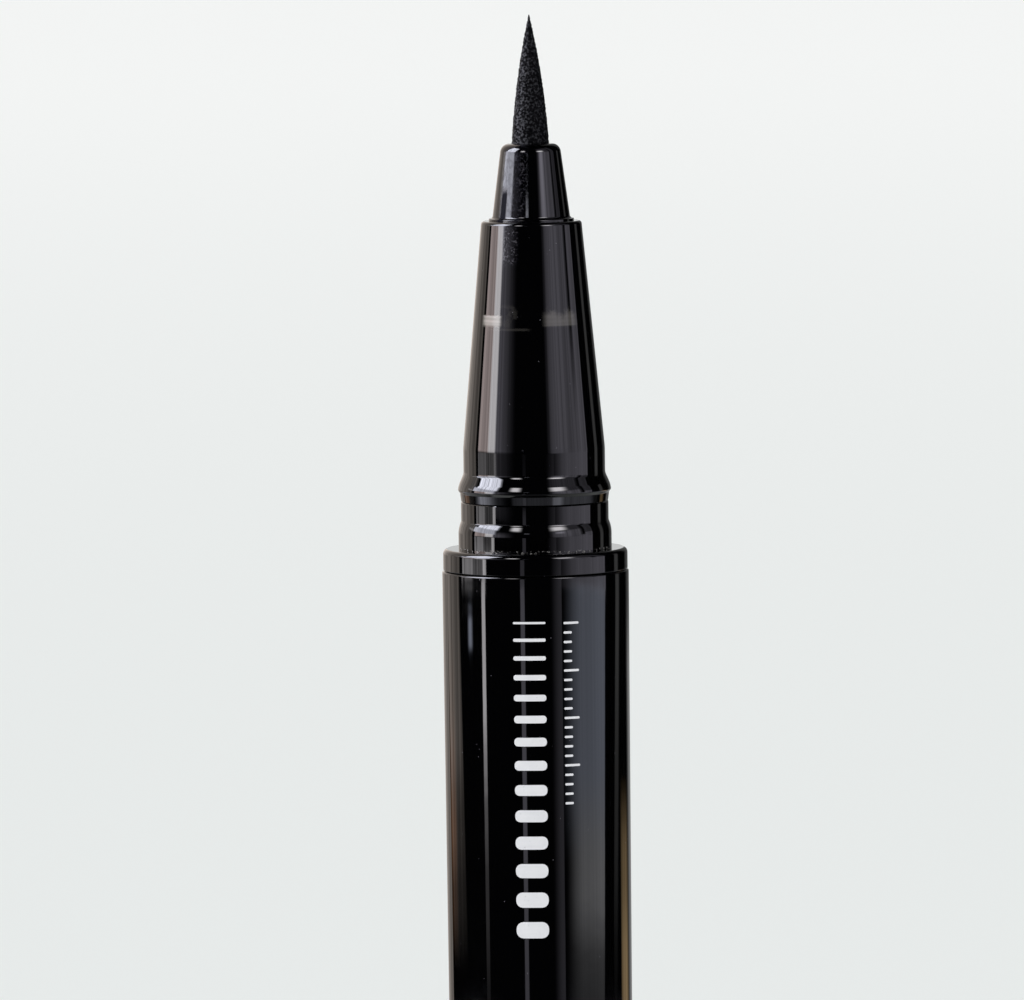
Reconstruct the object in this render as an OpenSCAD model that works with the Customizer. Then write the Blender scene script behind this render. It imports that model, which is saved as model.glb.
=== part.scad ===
// Liquid eyeliner pen with free ink, shown in use: the cap is on the tail post and
// the pen stands on the closed end of the cap. Z runs up the pen from there to the tip.
// Nearly every piece is turned, so it is drawn as half of its section and revolved.

/* [Brush tip] */
// Diameter of the fibre tip where it leaves the nose
tip_d = 2.1; // [1.8:0.05:2.3]
// Length of the tip that shows
tip_len = 7.25; // [5:0.25:9]
// Length of the root held inside the nose
tip_root_len = 6; // [5:0.25:7]

/* [Nose cone] */
// Height of the nose above the grip section
nose_len = 4.35; // [3.6:0.05:5.2]
// Width of the nose round the tip at its top, before its edge is rounded
nose_rim_w = 0.6; // [0.5:0.05:0.9]
// Flare of the nose from its top to its foot, on the radius
nose_flare = 0.55; // [0.3:0.05:0.8]
// Radius of the rounded top edge
nose_edge_r = 0.5; // [0.2:0.05:0.55]
// Step from the foot of the nose in to the stem pressed into the grip section
nose_stem_step = 0.25; // [0.1:0.05:0.35]
// Length of that stem
nose_stem_len = 3.6; // [3:0.1:4.5]

/* [Grip section] */
// Length of the long cone
cone_len = 12.8; // [11:0.2:16]
// Width of the flat land round the nose at the top of the cone
cone_land_w = 0.425; // [0.3:0.025:0.7]
// Step from the neck in to the straight stem under the cone
stem_step = 0.33; // [0.15:0.01:0.5]
// Length of that stem
stem_len = 1.5; // [1:0.1:2.5]
// Height of the snap bead over the groove, before its crest is rounded
bead_rise = 0.16; // [0.12:0.01:0.2]
// Depth of the groove in the neck
groove_depth = 0.16; // [0.12:0.01:0.2]
// Length of the groove
groove_len = 1.35; // [1.1:0.05:2]
// Step from the shoulder ring in to the neck that the cap closes on
neck_step = 0.88; // [0.75:0.01:1.1]
// Length of the neck
neck_len = 1.05; // [0.8:0.05:2]
// Length of the skirt inside the barrel
skirt_len = 8; // [7:0.25:12]
// Wall of the skirt
skirt_wall = 0.75; // [0.7:0.05:0.9]
// Wall of the cone
cone_wall = 0.5; // [0.45:0.05:0.6]

/* [Shoulder ring] */
// Outside diameter of the shoulder ring and of the cap's mouth. All wide pieces follow it.
ring_d = 10.42; // [9:0.02:12.4]
// Height of the shoulder ring
ring_h = 1.25; // [1:0.05:2]

/* [Barrel] */
// Step from the shoulder ring out to the mouth of the barrel
mouth_step = 0.06; // [0:0.01:0.2]
// Narrowing of the barrel from its mouth to its tail, on the radius
barrel_taper = 0.32; // [0:0.02:0.5]
// Length of the barrel
barrel_len = 94; // [70:1:110]
// Wall of the barrel at its tail
barrel_wall = 0.6; // [0.5:0.05:0.8]

/* [Ink tank] */
// Wall of the ink tank at its mouth
tank_wall = 0.42; // [0.36:0.02:0.5]
// Diameter of the stirring ball
ball_d = 4; // [3:0.25:5]

/* [Ink feed] */
// Diameter of the feed rod
rod_d = 1.6; // [1.3:0.05:1.8]
// Number of fins on the collector
fin_count = 22; // [12:1:26]
// Thickness of a fin
fin_t = 0.3; // [0.2:0.02:0.36]

/* [Tail plug] */
// Length of the plug inside the barrel
plug_len = 7; // [5.5:0.25:10]
// Height of the shoulder that closes the barrel
shoulder_h = 0.8; // [0.6:0.1:2]
// Length of the post that the cap is put on
post_len = 8; // [7:0.25:10]

/* [Cap] */
// Narrowing of the cap from its mouth to its closed end, on the radius
cap_taper = 0.26; // [0:0.02:0.4]
// Wall beside the inner cap, near the closed end
cap_wall = 0.8; // [0.7:0.05:0.9]
// Thickness of the closed end
cap_end_wall = 1.6; // [1.2:0.1:2.5]
// Wall of the inner cap
liner_wall = 0.5; // [0.4:0.05:0.5]

/* [Hidden] */

// Steps round a turned piece, in a rounded corner and along the tip
turn_steps = 96;
corner_steps = 5;
tip_steps = 12;

// Clearances: pressed together, sliding, seated end to end, and overrun of a cut
press_gap = 0.02;
slide_gap = 0.05;
seat_gap = 0.05;
overrun = 0.5;

// Tip: share of straight taper in its outline, and its blunt end
tip_straight_share = 0.42;
tip_blunt_d = 0.06;

// Tip sleeve, and its collar under the nose
sleeve_wall = 0.2;
sleeve_collar_w = 0.23;
sleeve_collar_h = 0.5;

// Nose: lip over the sleeve, ledge at the foot and the fillet above it
nose_lip_h = 0.9;
nose_ledge_w = 0.2;
nose_ledge_h = 0.14;
nose_foot_r = 0.18;

// Grip section: edges, bead, groove and neck, inner ledge, and seal groove in the skirt
section_edge_r = 0.2;
bead_ramp_len = 0.8;
bead_drop_len = 0.3;
bead_crest_r = 0.2;
band_rise = 0.04;
band_len = 0.4;
neck_chamfer_h = 0.3;
neck_edge_r = 0.12;
inner_ledge_h = 0.6;
inner_ledge_clear = 0.15;
skirt_chamfer = 0.3;
seal_drop = 3.4;
seal_wire_d = 0.4;
seal_play = 0.06;

// Shoulder ring
ring_edge_r = 0.28;
ring_foot_chamfer = 0.08;
ring_spigot_h = 1.5;

// Barrel, and the groove for the tail plug's snap ring
barrel_lip_r = 0.1;
barrel_tail_edge_r = 0.15;
snap_rise = 0.12;
snap_h = 0.8;
snap_up = 2.6;

// Ink tank, and the room under the ball
tank_step = 0.22;
tank_floor_t = 0.9;
tank_dish_h = 0.6;
tank_edge_r = 0.8;
ball_gap = 0.1;

// Tank plug
tank_plug_h = 1.5;
spigot_d = 3.4;
spigot_len = 2;
port_d = 0.8;
port_inset = 0.54;
port_count = 2;

// Collector: core, base flange, neck, capillary slot and air notch
core_d = 3.4;
collector_base_h = 1.2;
collector_neck_d = 2.8;
collector_neck_drop = 2;
capillary_w = 0.35;
air_notch_w = 1.2;
air_notch_depth = 0.5;

// Feed rod
rod_tail_len = 0.6;
rod_chamfer = 0.25;

// Tail plug
plug_wall = 0.9;
plug_floor_t = 1;
plug_rib_t = 0.6;
plug_rib_h = 5;
plug_rib_count = 2;
post_edge_r = 0.4;
post_clear = 0.03;

// Cap shell: bore, snap rib, rim, seat of the inner cap and centring fins
cap_clear = 0.07;
cap_rib_clear = 0.045;
cap_rib_h = 0.8;
cap_edge_r = 0.9;
cap_rim_r = 0.14;
cap_mouth_chamfer = 0.15;
cap_seat_w = 0.1;
cap_space = 2;
cap_fin_count = 6;
cap_fin_t = 0.5;
cap_fin_drop = 1.2;

// Inner cap: its mouth, collar and closed end
liner_gap = 0.8;
liner_clear = 0.15;
liner_nose_clear = 0.2;
liner_collar_h = 2.5;
liner_end_t = 0.6;
liner_end_r = 0.4;
tip_gap = 1.2;

// Share of its side that a rounded corner may use up
round_share = 0.9;

// Outside radii from the tip down to the top of the cone
nose_top_r = tip_d / 2 + nose_rim_w;
nose_base_r = nose_top_r + nose_flare;
nose_stem_r = nose_base_r - nose_stem_step;
nose_ledge_r = nose_base_r + nose_ledge_w;
cone_top_r = nose_ledge_r + cone_land_w;

// Outside radii that follow the shoulder ring
ring_r = ring_d / 2;
neck_r = ring_r - neck_step;
groove_r = neck_r - groove_depth;
band_r = groove_r + band_rise;
bead_r = groove_r + bead_rise;
stem_r = neck_r - stem_step;
barrel_mouth_r = ring_r + mouth_step;
barrel_tail_r = barrel_mouth_r - barrel_taper;
cap_end_r = ring_r - cap_taper;

// Radii of the bores and of what goes into them
sleeve_in_r = tip_d / 2 + press_gap;
sleeve_out_r = sleeve_in_r + sleeve_wall;
sleeve_collar_r = sleeve_out_r + sleeve_collar_w;
barrel_bore_r = barrel_tail_r - barrel_wall;
tank_out_r = barrel_bore_r - press_gap;
tank_mouth_r = tank_out_r - tank_wall;
tank_bore_r = tank_mouth_r - tank_step;
skirt_r = tank_mouth_r - press_gap;
section_bore_r = skirt_r - skirt_wall;
rod_hole_r = rod_d / 2 + slide_gap;
cap_bore_r = max(neck_r, bead_r) + cap_clear;
cap_rib_r = groove_r + cap_rib_clear;
post_r = cap_rib_r - post_clear;
liner_tip_bore_r = nose_top_r + liner_nose_clear;

// Heights in the pen, counted from the mouth of the barrel
neck_top = ring_h + neck_len;
groove_foot = neck_top + neck_chamfer_h;
groove_top = groove_foot + groove_len;
band_top = groove_top + band_len;
bead_crest = band_top + bead_drop_len;
bead_top = bead_crest + bead_ramp_len;
stem_top = bead_top + stem_len;
cone_top = stem_top + cone_len;
nose_top = cone_top + nose_len;
tip_top = nose_top + tip_len;
nose_seat = cone_top - nose_stem_len;
inner_ledge_foot = nose_seat - inner_ledge_h;
root_foot = nose_top - tip_root_len;
cone_slope = (stem_r - cone_top_r) / cone_len;
comb_room_top = stem_top + (stem_r - section_bore_r - cone_wall) / cone_slope;
collector_top = min(comb_room_top, inner_ledge_foot - 2 * collector_neck_drop);
skirt_foot = -skirt_len;
seal_level = -ring_spigot_h - seal_drop;
tank_plug_foot = skirt_foot - tank_plug_h;
rod_foot = tank_plug_foot - spigot_len - rod_tail_len;
barrel_foot = -barrel_len;
snap_foot = barrel_foot + snap_up;
tank_foot = barrel_foot + plug_len + seat_gap;
tank_dish_foot = tank_foot + tank_floor_t;
shoulder_foot = barrel_foot - shoulder_h;
post_foot = shoulder_foot - post_len;

// Heights in the part: the cap stands on Z = 0 and carries the pen
cap_len = tip_top - ring_h + tip_gap + liner_end_t + cap_space + cap_end_wall;
cap_rib_level = cap_len - neck_len - neck_chamfer_h - groove_len / 2;
liner_mouth = cap_len - post_len - liner_gap;
liner_seat = liner_mouth - liner_collar_h;
mouth_z = cap_len + seat_gap - shoulder_foot;

// Level in the cap of a level s of the pen, when the cap is on the nose
function capped(s) = cap_len + ring_h - s;
// Outside radius of the grip section's cone at level s
function cone_r(s) = stem_r - (s - stem_top) * cone_slope;

function unit(v) = v / norm(v);
function half_turn(a) = a > 180 ? a - 360 : a < -180 ? a + 360 : a;

// Length that a rounded corner at b may use up of its side towards a. Two rounded corners
// share the side between them.
function room(a, b) = norm([a[0] - b[0], a[1] - b[1]]) * round_share / (a[2] == undef ? 1 : 2);

// Corner b of an outline, between its neighbours a and c, rounded to radius b[2], or to the
// largest radius that its sides have room for
function corner(a, b, c) =
    let (p = [b[0], b[1]], u = unit([a[0], a[1]] - p), v = unit([c[0], c[1]] - p))
    b[2] == undef || abs(cross(u, v)) < 1e-6 ? [p] :
    let (half = acos(u * v) / 2,
         r = min(b[2], tan(half) * min(room(a, b), room(c, b))),
         hub = p + unit(u + v) * r / sin(half),
         from = p + u * r / tan(half) - hub,
         to = p + v * r / tan(half) - hub,
         start = atan2(from[1], from[0]),
         sweep = half_turn(atan2(to[1], to[0]) - start))
    [for (i = [0:corner_steps])
        let (a = start + sweep * i / corner_steps) hub + r * [cos(a), sin(a)]];

// Outline of [radius, height, corner radius] points, with its corners rounded
function rounded(points) =
    let (n = len(points))
    [for (i = [0:n - 1]) each corner(points[(i + n - 1) % n], points[i], points[(i + 1) % n])];

// Turned piece of the pen, with heights from the barrel's mouth
module turned_on_pen(points) {
    translate([0, 0, mouth_z]) turned_on_cap(points);
}

// Turned piece of the cap, with heights from the floor
module turned_on_cap(points) {
    rotate_extrude($fn = turn_steps) polygon(rounded(points));
}

// Radius of the tip at a share s of its length, from its point
function tip_r(s) = tip_blunt_d / 2 + (tip_d - tip_blunt_d) / 2
    * (tip_straight_share * s + (1 - tip_straight_share) * (2 * s - s * s));

// Fibre tip: a straight root, then a slim ogive that ends in a blunt point
module brush_tip() {
    color([0.06, 0.06, 0.065]) turned_on_pen(concat(
        [[0, root_foot], [tip_d / 2, root_foot]],
        [for (i = [0:tip_steps]) [tip_r(1 - i / tip_steps), nose_top + tip_len * i / tip_steps]],
        [[0, tip_top]]));
}

// Thin tube that grips the root of the tip. Its collar stops under the stem of the nose.
module tip_sleeve() {
    collar_top = nose_seat - seat_gap;
    sleeve_top = nose_top - nose_lip_h - seat_gap;
    color([0.55, 0.55, 0.56]) turned_on_pen([
        [sleeve_in_r, collar_top - sleeve_collar_h],
        [sleeve_collar_r, collar_top - sleeve_collar_h],
        [sleeve_collar_r, collar_top],
        [sleeve_out_r, collar_top],
        [sleeve_out_r, sleeve_top],
        [sleeve_in_r, sleeve_top]]);
}

// Nose: a cone with a rounded edge and a thin ledge at its foot, on a stem. A lip at the
// top stops the sleeve.
module nose_cone() {
    sleeve_hole_r = sleeve_out_r + press_gap;
    color([0.03, 0.03, 0.035]) turned_on_pen([
        [sleeve_in_r, nose_top],
        [nose_top_r, nose_top, nose_edge_r],
        [nose_base_r, cone_top + nose_ledge_h, nose_foot_r],
        [nose_ledge_r, cone_top + nose_ledge_h],
        [nose_ledge_r, cone_top],
        [nose_stem_r, cone_top],
        [nose_stem_r, nose_seat],
        [sleeve_hole_r, nose_seat],
        [sleeve_hole_r, nose_top - nose_lip_h],
        [sleeve_in_r, nose_top - nose_lip_h]]);
}

// Grip section: cone, stem, snap bead, groove and neck outside, and the skirt in the barrel
module grip_section() {
    seal_half_h = seal_wire_d / 2 + seal_play;
    seal_floor_r = skirt_r - seal_wire_d;
    nose_hole_r = nose_stem_r + press_gap;
    color([0.03, 0.03, 0.035]) turned_on_pen([
        [section_bore_r, skirt_foot],
        [skirt_r - skirt_chamfer, skirt_foot],
        [skirt_r, skirt_foot + skirt_chamfer],
        [skirt_r, seal_level - seal_half_h],
        [seal_floor_r, seal_level - seal_half_h],
        [seal_floor_r, seal_level + seal_half_h],
        [skirt_r, seal_level + seal_half_h],
        [skirt_r, ring_h],
        [neck_r, ring_h],
        [neck_r, neck_top, neck_edge_r],
        [groove_r, groove_foot],
        [groove_r, groove_top],
        [band_r, groove_top],
        [band_r, band_top],
        [bead_r, bead_crest, bead_crest_r],
        [stem_r, bead_top],
        [stem_r, stem_top],
        [cone_top_r, cone_top, section_edge_r],
        [nose_hole_r, cone_top],
        [nose_hole_r, nose_seat],
        [sleeve_collar_r + inner_ledge_clear, nose_seat],
        [sleeve_collar_r + inner_ledge_clear, inner_ledge_foot],
        [cone_r(inner_ledge_foot) - cone_wall, inner_ledge_foot],
        [section_bore_r, collector_top]]);
}

// Fibre rod from the tank, through the collector, to the root of the tip
module feed_rod() {
    color([0.12, 0.12, 0.13]) turned_on_pen([
        [0, rod_foot],
        [rod_d / 2 - rod_chamfer, rod_foot],
        [rod_d / 2, rod_foot + rod_chamfer],
        [rod_d / 2, root_foot],
        [0, root_foot]]);
}

// Comb of fins round a hollow core. A thin capillary slot runs up one side, over a port
// of the tank plug, and an air notch up the other.
module ink_collector() {
    fin_r = section_bore_r - slide_gap;
    body_len = collector_top - skirt_foot;
    full_len = inner_ledge_foot - collector_neck_drop - skirt_foot;
    fin_pitch = (body_len - collector_base_h) / fin_count;
    color([0.08, 0.08, 0.085]) translate([0, 0, mouth_z + skirt_foot]) difference() {
        union() {
            cylinder(r = fin_r, h = collector_base_h, $fn = turn_steps);
            cylinder(d = core_d, h = body_len, $fn = turn_steps);
            cylinder(d = collector_neck_d, h = full_len, $fn = turn_steps);
            for (i = [1:fin_count])
                translate([0, 0, collector_base_h + i * fin_pitch - fin_t])
                    cylinder(r = fin_r, h = fin_t, $fn = turn_steps);
        }
        translate([0, 0, -overrun])
            cylinder(r = rod_hole_r, h = full_len + 2 * overrun, $fn = turn_steps);
        translate([-capillary_w / 2, 0, -overrun])
            cube([capillary_w, fin_r + overrun, body_len + 2 * overrun]);
        translate([-air_notch_w / 2, -fin_r - overrun, -overrun])
            cube([air_notch_w, overrun + air_notch_depth, body_len + 2 * overrun]);
    }
}

// Ring seal in the groove of the skirt
module section_seal() {
    color([0.1, 0.1, 0.1]) translate([0, 0, mouth_z + seal_level])
        rotate_extrude($fn = turn_steps)
            translate([skirt_r - seal_wire_d / 2, 0])
                circle(d = seal_wire_d, $fn = turn_steps / 4);
}

// Ring between neck and barrel. Its spigot centres it in the barrel.
module shoulder_ring() {
    ring_hole_r = skirt_r + press_gap;
    color([0.03, 0.03, 0.035]) turned_on_pen([
        [ring_hole_r, -ring_spigot_h],
        [tank_out_r, -ring_spigot_h],
        [tank_out_r, 0],
        [ring_r - ring_foot_chamfer, 0],
        [ring_r, ring_foot_chamfer],
        [ring_r, ring_h, ring_edge_r],
        [ring_hole_r, ring_h]]);
}

// Pierced plug under the collector, with a spigot round the feed rod
module tank_plug() {
    color([0.75, 0.75, 0.74]) difference() {
        turned_on_pen([
            [rod_hole_r, tank_plug_foot - spigot_len],
            [spigot_d / 2, tank_plug_foot - spigot_len],
            [spigot_d / 2, tank_plug_foot],
            [skirt_r, tank_plug_foot],
            [skirt_r, skirt_foot],
            [rod_hole_r, skirt_foot]]);
        for (i = [0:port_count - 1])
            rotate([0, 0, 360 * i / port_count])
                translate([0, section_bore_r - port_inset, mouth_z + tank_plug_foot - overrun])
                    cylinder(d = port_d, h = tank_plug_h + 2 * overrun, $fn = turn_steps / 3);
    }
}

// Inner tube that holds the ink. Its floor is dished, so that the ball comes to the middle.
module ink_tank() {
    color([0.7, 0.72, 0.72]) turned_on_pen([
        [0, tank_foot],
        [tank_out_r, tank_foot, tank_edge_r],
        [tank_out_r, -ring_spigot_h],
        [tank_mouth_r, -ring_spigot_h],
        [tank_mouth_r, tank_plug_foot],
        [tank_bore_r, tank_plug_foot],
        [tank_bore_r, tank_dish_foot + tank_dish_h],
        [0, tank_dish_foot]]);
}

// Steel ball that stirs the ink. It rests on the dished floor of the tank.
module stirring_ball() {
    dish_angle = atan(tank_dish_h / tank_bore_r);
    rest_z = mouth_z + tank_dish_foot + ball_d / 2 / cos(dish_angle) + ball_gap;
    color([0.75, 0.75, 0.76]) translate([0, 0, rest_z]) sphere(d = ball_d, $fn = turn_steps);
}

// Outer tube with a slight taper, and a snap groove for the tail plug
module barrel() {
    color([0.02, 0.02, 0.025]) turned_on_pen([
        [barrel_bore_r, barrel_foot],
        [barrel_tail_r, barrel_foot, barrel_tail_edge_r],
        [barrel_mouth_r, 0, barrel_lip_r],
        [barrel_bore_r, 0],
        [barrel_bore_r, snap_foot + snap_h],
        [barrel_bore_r + snap_rise, snap_foot + snap_h - snap_rise],
        [barrel_bore_r + snap_rise, snap_foot + snap_rise],
        [barrel_bore_r, snap_foot]]);
}

// Plug with a snap ring in the barrel, a shoulder, and the post for the cap. It is hollow,
// with crossed ribs that stiffen the post.
module tail_plug() {
    out_r = barrel_bore_r - press_gap;
    in_r = post_r - plug_wall;
    plug_top = barrel_foot + plug_len;
    floor_top = post_foot + plug_floor_t;
    color([0.02, 0.02, 0.025]) {
        turned_on_pen([
            [0, post_foot],
            [post_r, post_foot, post_edge_r],
            [post_r, shoulder_foot],
            [barrel_tail_r, shoulder_foot, barrel_tail_edge_r],
            [barrel_tail_r, barrel_foot],
            [out_r, barrel_foot],
            [out_r, snap_foot],
            [out_r + snap_rise, snap_foot + snap_rise],
            [out_r + snap_rise, snap_foot + snap_h - snap_rise],
            [out_r, snap_foot + snap_h],
            [out_r, plug_top],
            [in_r, plug_top],
            [in_r, floor_top],
            [0, floor_top]]);
        translate([0, 0, mouth_z + floor_top - seat_gap])
            for (i = [0:plug_rib_count - 1])
                rotate([0, 0, 180 * i / plug_rib_count])
                    translate([-in_r - seat_gap, -plug_rib_t / 2, 0])
                        cube([2 * (in_r + seat_gap), plug_rib_t, plug_rib_h]);
    }
}

// Cap: a tapered shell with a snap rib near its mouth, a seat for the collar of the inner
// cap, and fins that centre its narrow end
module cap_shell() {
    fin_in_r = liner_tip_bore_r + liner_wall + slide_gap;
    fin_foot = cap_end_wall - seat_gap;
    fin_top = capped(nose_top) - cap_fin_drop;
    color([0.02, 0.02, 0.025]) {
        turned_on_cap([
            [0, 0],
            [cap_end_r, 0, cap_edge_r],
            [ring_r, cap_len, cap_rim_r],
            [cap_bore_r + cap_mouth_chamfer, cap_len],
            [cap_bore_r, cap_len - cap_mouth_chamfer],
            [cap_bore_r, cap_rib_level + cap_rib_h / 2],
            [cap_rib_r, cap_rib_level],
            [cap_bore_r, cap_rib_level - cap_rib_h / 2],
            [cap_bore_r, liner_seat],
            [cap_bore_r - cap_seat_w, liner_seat],
            [cap_end_r - cap_wall, cap_end_wall, cap_edge_r],
            [0, cap_end_wall]]);
        for (i = [0:cap_fin_count - 1])
            rotate([0, 0, 360 * i / cap_fin_count])
                translate([fin_in_r, -cap_fin_t / 2, fin_foot])
                    cube([cap_bore_r - fin_in_r, cap_fin_t, fin_top - fin_foot]);
    }
}

// Soft inner cap. Its bore follows the cone, nose and tip with a small clearance, and its
// step closes on the top of the grip section.
module cap_liner() {
    tip_end = capped(tip_top) - tip_gap;
    nose_bore_r = nose_ledge_r + liner_clear;
    step = capped(cone_top);
    step_r = cone_top_r + liner_clear;
    mouth_r = cone_r(capped(liner_mouth)) + liner_clear;
    collar_r = cone_r(capped(liner_seat)) + liner_clear;
    color([0.82, 0.82, 0.8]) turned_on_cap([
        [0, tip_end - liner_end_t],
        [liner_tip_bore_r + liner_wall, tip_end - liner_end_t, liner_end_r],
        [liner_tip_bore_r + liner_wall, capped(nose_top)],
        [nose_bore_r + liner_wall, step - liner_wall],
        [step_r + liner_wall, step - liner_wall],
        [collar_r + liner_wall, liner_seat],
        [cap_bore_r - press_gap, liner_seat],
        [cap_bore_r - press_gap, liner_mouth],
        [mouth_r, liner_mouth],
        [step_r, step],
        [nose_bore_r, step],
        [liner_tip_bore_r, capped(nose_top)],
        [liner_tip_bore_r, tip_end],
        [0, tip_end]]);
}

brush_tip();
tip_sleeve();
nose_cone();
grip_section();
feed_rod();
ink_collector();
section_seal();
shoulder_ring();
tank_plug();
ink_tank();
stirring_ball();
barrel();
tail_plug();
cap_shell();
cap_liner();
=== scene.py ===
# %% [markdown]
# # A liquid eyeliner pen, modelled and finished in Blender
#
# The pen stands upright on its cap, which is put on the tail while the pen is in use. A
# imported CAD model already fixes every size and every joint. This lesson dresses it: each
# glossy piece is turned again with far more steps than the CAD mesh has, because a black
# mirror shows every facet, and each piece gets a finish made from nodes.
#
# The frame comes first. Everything is in metres, and Z runs up the pen from the closed end
# of the cap to the point of the tip. The camera looks along +Y, so -Y is the front.

# %% Load the frame that the CAD model fixes
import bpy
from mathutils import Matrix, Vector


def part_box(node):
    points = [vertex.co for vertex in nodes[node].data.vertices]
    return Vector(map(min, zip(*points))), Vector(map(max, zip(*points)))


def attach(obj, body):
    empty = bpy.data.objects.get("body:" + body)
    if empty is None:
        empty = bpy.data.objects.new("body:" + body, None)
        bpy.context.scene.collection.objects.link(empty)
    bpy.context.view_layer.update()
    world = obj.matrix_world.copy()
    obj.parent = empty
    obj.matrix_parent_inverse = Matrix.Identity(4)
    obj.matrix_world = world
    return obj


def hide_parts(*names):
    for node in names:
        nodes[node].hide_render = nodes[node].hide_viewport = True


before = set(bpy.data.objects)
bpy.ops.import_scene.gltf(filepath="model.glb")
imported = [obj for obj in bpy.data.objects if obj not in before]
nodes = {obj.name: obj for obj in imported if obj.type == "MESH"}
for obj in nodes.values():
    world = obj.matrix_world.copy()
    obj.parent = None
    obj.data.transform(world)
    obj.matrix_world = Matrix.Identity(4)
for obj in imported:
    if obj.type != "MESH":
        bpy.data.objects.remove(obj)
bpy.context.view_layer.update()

import math

import bmesh
import bpy
from mathutils import Vector

MM = 0.001
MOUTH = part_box("barrel")[1].z / MM

# %% [markdown]
# ## How a turned piece is drawn
#
# Nearly every piece of the pen is round, so it can be made as a wood turner would see it:
# half of its section is drawn beside the axis, its corners are rounded, and the outline is
# spun once round. A stack of cylinders would also give the shape, but its edges would have
# to be rounded one by one on thousands of faces.
#
# The outline starts as one small plane that is merged to a single vertex. That vertex is
# then extruded from corner to corner. A piece that is solid to its axis stays open there,
# because the spin itself closes it.

# %% Draw an outline from corner to corner
SAME_CORNER = 0.001


def work_on(piece):
    """Only this piece is selected and active."""
    bpy.ops.object.select_all(action="DESELECT")
    piece.select_set(True)
    bpy.context.view_layer.objects.active = piece


def single_vertex(name, x, y, z):
    """A new piece in edit mode, with one vertex at a place in mm."""
    bpy.ops.object.select_all(action="DESELECT")
    bpy.ops.mesh.primitive_plane_add(size=MM, location=(x * MM, y * MM, z * MM))
    piece = bpy.context.object
    piece.name = piece.data.name = name
    bpy.ops.object.transform_apply(location=True, rotation=True, scale=True)
    bpy.ops.object.mode_set(mode="EDIT")
    bpy.ops.mesh.select_all(action="SELECT")
    bpy.ops.mesh.merge(type="CENTER")
    return piece


def draw_outline(name, corners):
    """Half a section in the XZ plane. A corner is (radius, height, rounding) in mm."""
    first = corners[0]
    piece = single_vertex(name, first[0], 0, first[1])
    solid = first[0] == 0 and corners[-1][0] == 0
    stops = corners[1:] if solid else corners[1:] + corners[:1]
    for here, there in zip(corners, stops):
        step = ((there[0] - here[0]) * MM, 0, (there[1] - here[1]) * MM)
        bpy.ops.mesh.extrude_vertices_move(TRANSFORM_OT_translate={"value": step})
    bpy.ops.mesh.select_all(action="SELECT")
    bpy.ops.mesh.remove_doubles(threshold=SAME_CORNER * MM)
    return piece


print("an outline is a chain of extruded vertices")

# %% [markdown]
# Moulded plastic has no knife edges, and on a black mirror the rounded edges are what the
# eye follows, since each carries a thin line of light. A vertex bevel rounds a corner of
# the outline. Its offset is measured along the two edges, so a radius is first turned into
# that distance with half of the angle between them.


# %% Round the corners of an outline
def pick_vertex(piece, radius, height):
    """Selects the vertex of an outline that is at this place, in mm."""
    mesh = bmesh.from_edit_mesh(piece.data)
    place = Vector((radius * MM, 0, height * MM))
    bpy.ops.mesh.select_all(action="DESELECT")
    nearest = min(mesh.verts, key=lambda vert: (vert.co - place).length)
    nearest.select_set(True)
    mesh.select_flush_mode()
    bmesh.update_edit_mesh(piece.data)


def round_corners(piece, corners, arc_steps):
    """Bevels each corner that has a rounding."""
    bpy.ops.mesh.select_mode(type="VERT")
    for i, corner in enumerate(corners):
        if len(corner) < 3:
            continue
        here = Vector(corner[:2])
        before = Vector(corners[i - 1][:2]) - here
        after = Vector(corners[(i + 1) % len(corners)][:2]) - here
        half = before.angle(after) / 2
        pick_vertex(piece, *corner[:2])
        bpy.ops.mesh.bevel(
            affect="VERTICES",
            offset_type="OFFSET",
            offset=corner[2] * MM / math.tan(half),
            segments=arc_steps,
            profile=0.5,
        )


print("a corner's rounding becomes a vertex bevel")

# %% [markdown]
# The spin leaves doubled vertices where it closes and at the poles, so these are merged
# before the normals are made to point outwards. Smooth shading by angle keeps the sharp
# steps. The Weighted Normal modifier then lets the long faces decide how a rounded edge
# is shaded, or a 94 mm long face of the barrel would look bent from end to end. It takes
# very small faces for empty ones, so the piece is a thousand times larger meanwhile.

# %% Spin an outline into a piece
ROUND_STEPS = 192
ARC_STEPS = 6
SHARP_ANGLE = 32
SEAM_GAP = 0.0005
FACE_WEIGHT = 90
WEIGHT_SPREAD = 0.001


def spin_round(steps):
    """Spins the outline in edit mode round the Z axis, and leaves edit mode."""
    bpy.ops.mesh.select_all(action="SELECT")
    bpy.ops.mesh.spin(steps=steps, angle=math.tau, center=(0, 0, 0), axis=(0, 0, 1))
    bpy.ops.mesh.select_all(action="SELECT")
    bpy.ops.mesh.remove_doubles(threshold=SEAM_GAP * MM)
    bpy.ops.mesh.normals_make_consistent(inside=False)
    bpy.ops.object.mode_set(mode="OBJECT")


def resize(piece, factor):
    """Scales the mesh about the origin, and leaves the object unscaled."""
    piece.scale = (factor, factor, factor)
    bpy.ops.object.transform_apply(location=False, rotation=False, scale=True)


def even_shading(piece):
    """Smooth faces with sharp steps, shaded by the larger faces."""
    work_on(piece)
    bpy.ops.object.shade_smooth_by_angle(angle=math.radians(SHARP_ANGLE))
    resize(piece, 1 / MM)
    modifier = piece.modifiers.new("even shading", "WEIGHTED_NORMAL")
    modifier.keep_sharp = True
    modifier.weight = FACE_WEIGHT
    modifier.thresh = WEIGHT_SPREAD
    bpy.ops.object.modifier_apply(modifier=modifier.name)
    resize(piece, MM)


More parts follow.
